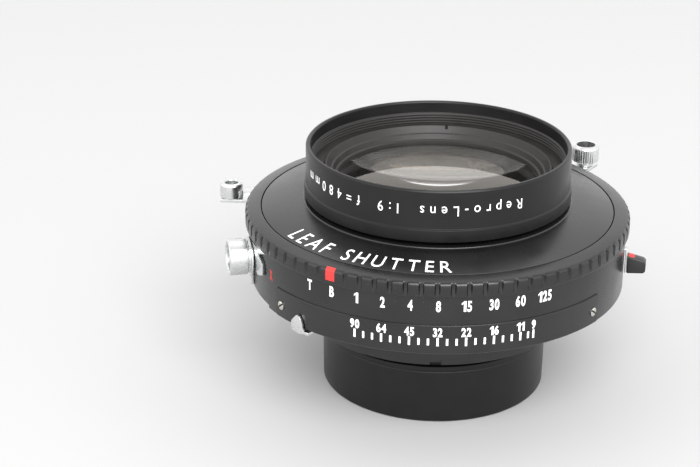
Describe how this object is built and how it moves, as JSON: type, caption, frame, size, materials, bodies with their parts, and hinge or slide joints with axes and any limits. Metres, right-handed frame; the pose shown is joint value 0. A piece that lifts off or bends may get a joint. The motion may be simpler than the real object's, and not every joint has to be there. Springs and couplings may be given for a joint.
{
  "type": "large-format lens in leaf shutter",
  "caption": "Long-focus process and enlarging lens screwed into a large leaf shutter, with speed ring, aperture lever, iris and shutter blades.",
  "frame": {"origin": "on the optical axis, in the plane of the rear barrel's rim, which the lens stands on", "axes": "+Z along the optical axis out of the front; -Y towards the middle of the speed and aperture scales; +X to the right as those scales are read"},
  "size_m": [0.1153, 0.102, 0.0668],
  "materials": {
    "aperture_lever": "bright chrome plate",
    "aperture_scale_plate": "satin black paint",
    "blade_ring": "plain turned brass",
    "cable_release_socket": "bright chrome plate",
    "cocking_gear": "plain turned brass",
    "cocking_knob": "bright chrome plate",
    "cocking_lever": "bright chrome plate",
    "cocking_shaft": "plain turned brass",
    "cocking_spring": "bright chrome plate",
    "front_barrel": "black anodised, fine turned",
    "front_cover": "satin black paint",
    "front_inner_element": "polished, coated",
    "front_inner_retainer": "satin black paint",
    "front_outer_element": "polished, coated",
    "front_retaining_ring": "black anodised, fine turned",
    "front_spacer_ring": "satin black paint",
    "iris_blade_1": "blackened spring steel, matt",
    "iris_blade_2": "blackened spring steel, matt",
    "iris_blade_3": "blackened spring steel, matt",
    "iris_blade_4": "blackened spring steel, matt",
    "iris_blade_5": "blackened spring steel, matt",
    "iris_blade_6": "blackened spring steel, matt",
    "iris_blade_7": "blackened spring steel, matt",
    "iris_ring": "plain turned brass",
    "mechanism_plate": "blackened spring steel, matt",
    "preview_lever": "bright chrome plate",
    "preview_lever_tip": "black moulded",
    "rear_barrel": "black anodised, fine turned",
    "rear_inner_element": "polished, coated",
    "rear_outer_element": "polished, coated",
    "rear_plate": "satin black paint",
    "rear_plate_screw_1": "blackened spring steel, matt",
    "rear_plate_screw_2": "blackened spring steel, matt",
    "rear_plate_screw_3": "blackened spring steel, matt",
    "rear_plate_screw_4": "blackened spring steel, matt",
    "rear_retaining_ring": "satin black paint",
    "rear_spacer_ring": "satin black paint",
    "release_knob": "bright chrome plate",
    "release_lever": "bright chrome plate",
    "release_shaft": "plain turned brass",
    "release_spring": "bright chrome plate",
    "retaining_ring": "black anodised, fine turned",
    "retard_gear": "plain turned brass",
    "retard_shaft": "plain turned brass",
    "scale_plate_screw_1": "bright chrome plate",
    "scale_plate_screw_2": "bright chrome plate",
    "shutter_blade_1": "blackened spring steel, matt",
    "shutter_blade_2": "blackened spring steel, matt",
    "shutter_blade_3": "blackened spring steel, matt",
    "shutter_blade_4": "blackened spring steel, matt",
    "shutter_blade_5": "blackened spring steel, matt",
    "shutter_housing": "satin black paint",
    "speed_ring": "satin black paint",
    "sync_base": "bright chrome plate",
    "sync_insulator": "black moulded",
    "sync_pin": "bright chrome plate",
    "sync_socket": "bright chrome plate"
  },
  "bodies": {
    "case": {"aperture_scale_plate": "aperture_scale_plate", "cable_release_socket": "cable_release_socket", "cocking_shaft": "cocking_shaft", "cocking_spring": "cocking_spring", "front_barrel": "front_barrel", "front_cover": "front_cover", "front_inner_element": "front_inner_element", "front_inner_retainer": "front_inner_retainer", "front_outer_element": "front_outer_element", "front_retaining_ring": "front_retaining_ring", "front_spacer_ring": "front_spacer_ring", "mechanism_plate": "mechanism_plate", "rear_barrel": "rear_barrel", "rear_inner_element": "rear_inner_element", "rear_outer_element": "rear_outer_element", "rear_plate": "rear_plate", "rear_plate_screw_1": "rear_plate_screw_1", "rear_plate_screw_2": "rear_plate_screw_2", "rear_plate_screw_3": "rear_plate_screw_3", "rear_plate_screw_4": "rear_plate_screw_4", "rear_retaining_ring": "rear_retaining_ring", "rear_spacer_ring": "rear_spacer_ring", "release_shaft": "release_shaft", "release_spring": "release_spring", "retaining_ring": "retaining_ring", "retard_shaft": "retard_shaft", "scale_plate_screw_1": "scale_plate_screw_1", "scale_plate_screw_2": "scale_plate_screw_2", "shutter_housing": "shutter_housing", "sync_base": "sync_base", "sync_insulator": "sync_insulator", "sync_pin": "sync_pin", "sync_socket": "sync_socket"},
    "speed_ring": {"speed_ring": "speed_ring"},
    "aperture_control": {"iris_ring": "iris_ring", "aperture_lever": "aperture_lever"},
    "blade_drive": {"blade_ring": "blade_ring", "preview_lever": "preview_lever", "preview_lever_tip": "preview_lever_tip"},
    "cocking_control": {"cocking_lever": "cocking_lever", "cocking_knob": "cocking_knob", "cocking_gear": "cocking_gear"},
    "retard_train": {"retard_gear": "retard_gear"},
    "release_control": {"release_lever": "release_lever", "release_knob": "release_knob"},
    "shutter_blade_1": {"shutter_blade_1": "shutter_blade_1"},
    "shutter_blade_2": {"shutter_blade_2": "shutter_blade_2"},
    "shutter_blade_3": {"shutter_blade_3": "shutter_blade_3"},
    "shutter_blade_4": {"shutter_blade_4": "shutter_blade_4"},
    "shutter_blade_5": {"shutter_blade_5": "shutter_blade_5"},
    "iris_blade_1": {"iris_blade_1": "iris_blade_1"},
    "iris_blade_2": {"iris_blade_2": "iris_blade_2"},
    "iris_blade_3": {"iris_blade_3": "iris_blade_3"},
    "iris_blade_4": {"iris_blade_4": "iris_blade_4"},
    "iris_blade_5": {"iris_blade_5": "iris_blade_5"},
    "iris_blade_6": {"iris_blade_6": "iris_blade_6"},
    "iris_blade_7": {"iris_blade_7": "iris_blade_7"}
  },
  "joints": [
    {"name": "speed_ring_turn", "type": "hinge", "parent": "case", "child": "speed_ring", "pos_m": [0, 0, 0], "axis": [0, 0, 1], "range_deg": [-7.87, 62.96]},
    {"name": "aperture_turn", "type": "hinge", "parent": "case", "child": "aperture_control", "pos_m": [0, 0, 0], "axis": [0, 0, 1], "range_deg": [0, 70.4]},
    {"name": "preview_turn", "type": "hinge", "parent": "case", "child": "blade_drive", "pos_m": [0, 0, 0], "axis": [0, 0, 1], "range_deg": [0, 12]},
    {"name": "cocking_swing", "type": "hinge", "parent": "case", "child": "cocking_control", "pos_m": [0.03155, 0.02292, 0.04245], "axis": [0, 0, 1], "range_deg": [-40, 0]},
    {"name": "release_swing", "type": "hinge", "parent": "case", "child": "release_control", "pos_m": [-0.03532, 0.01878, 0.04245], "axis": [0, 0, 1], "range_deg": [-10, 0], "stiffness_Nm_per_rad": 0.08, "springref_deg": 1.15},
    {"name": "retard_spin", "type": "hinge", "parent": "case", "child": "retard_train", "pos_m": [0.01745, 0.03206, 0.0416], "axis": [0, 0, 1], "range_deg": [0, 30]},
    {"name": "shutter_blade_1_swing", "type": "hinge", "parent": "case", "child": "shutter_blade_1", "pos_m": [0.03947, 0.01436, 0.0385], "axis": [0, 0, 1], "range_deg": [-34.5, 0]},
    {"name": "shutter_blade_2_swing", "type": "hinge", "parent": "case", "child": "shutter_blade_2", "pos_m": [-0.00147, 0.04197, 0.0385], "axis": [0, 0, 1], "range_deg": [-34.5, 0]},
    {"name": "shutter_blade_3_swing", "type": "hinge", "parent": "case", "child": "shutter_blade_3", "pos_m": [-0.04037, 0.01158, 0.0385], "axis": [0, 0, 1], "range_deg": [-34.5, 0]},
    {"name": "shutter_blade_4_swing", "type": "hinge", "parent": "case", "child": "shutter_blade_4", "pos_m": [-0.02349, -0.03482, 0.0385], "axis": [0, 0, 1], "range_deg": [-34.5, 0]},
    {"name": "shutter_blade_5_swing", "type": "hinge", "parent": "case", "child": "shutter_blade_5", "pos_m": [0.02586, -0.0331, 0.0385], "axis": [0, 0, 1], "range_deg": [-34.5, 0]},
    {"name": "iris_blade_1_swing", "type": "hinge", "parent": "case", "child": "iris_blade_1", "pos_m": [0.03571, 0.013, 0.034], "axis": [0, 0, 1], "range_deg": [-32, 0]},
    {"name": "iris_blade_2_swing", "type": "hinge", "parent": "case", "child": "iris_blade_2", "pos_m": [0.0121, 0.03602, 0.034], "axis": [0, 0, 1], "range_deg": [-32, 0]},
    {"name": "iris_blade_3_swing", "type": "hinge", "parent": "case", "child": "iris_blade_3", "pos_m": [-0.02062, 0.03192, 0.034], "axis": [0, 0, 1], "range_deg": [-32, 0]},
    {"name": "iris_blade_4_swing", "type": "hinge", "parent": "case", "child": "iris_blade_4", "pos_m": [-0.03781, 0.00378, 0.034], "axis": [0, 0, 1], "range_deg": [-32, 0]},
    {"name": "iris_blade_5_swing", "type": "hinge", "parent": "case", "child": "iris_blade_5", "pos_m": [-0.02653, -0.0272, 0.034], "axis": [0, 0, 1], "range_deg": [-32, 0]},
    {"name": "iris_blade_6_swing", "type": "hinge", "parent": "case", "child": "iris_blade_6", "pos_m": [0.00473, -0.03771, 0.034], "axis": [0, 0, 1], "range_deg": [-32, 0]},
    {"name": "iris_blade_7_swing", "type": "hinge", "parent": "case", "child": "iris_blade_7", "pos_m": [0.03243, -0.01981, 0.034], "axis": [0, 0, 1], "range_deg": [-32, 0]}
  ],
  "couplings": [
    {"joint": "retard_spin", "follows": "cocking_swing", "ratio": -0.75},
    {"joint": "shutter_blade_1_swing", "follows": "preview_turn", "ratio": -2.875},
    {"joint": "shutter_blade_2_swing", "follows": "preview_turn", "ratio": -2.875},
    {"joint": "shutter_blade_3_swing", "follows": "preview_turn", "ratio": -2.875},
    {"joint": "shutter_blade_4_swing", "follows": "preview_turn", "ratio": -2.875},
    {"joint": "shutter_blade_5_swing", "follows": "preview_turn", "ratio": -2.875},
    {"joint": "iris_blade_1_swing", "follows": "aperture_turn", "ratio": -0.45454},
    {"joint": "iris_blade_2_swing", "follows": "aperture_turn", "ratio": -0.45454},
    {"joint": "iris_blade_3_swing", "follows": "aperture_turn", "ratio": -0.45454},
    {"joint": "iris_blade_4_swing", "follows": "aperture_turn", "ratio": -0.45454},
    {"joint": "iris_blade_5_swing", "follows": "aperture_turn", "ratio": -0.45454},
    {"joint": "iris_blade_6_swing", "follows": "aperture_turn", "ratio": -0.45454},
    {"joint": "iris_blade_7_swing", "follows": "aperture_turn", "ratio": -0.45454}
  ]
}
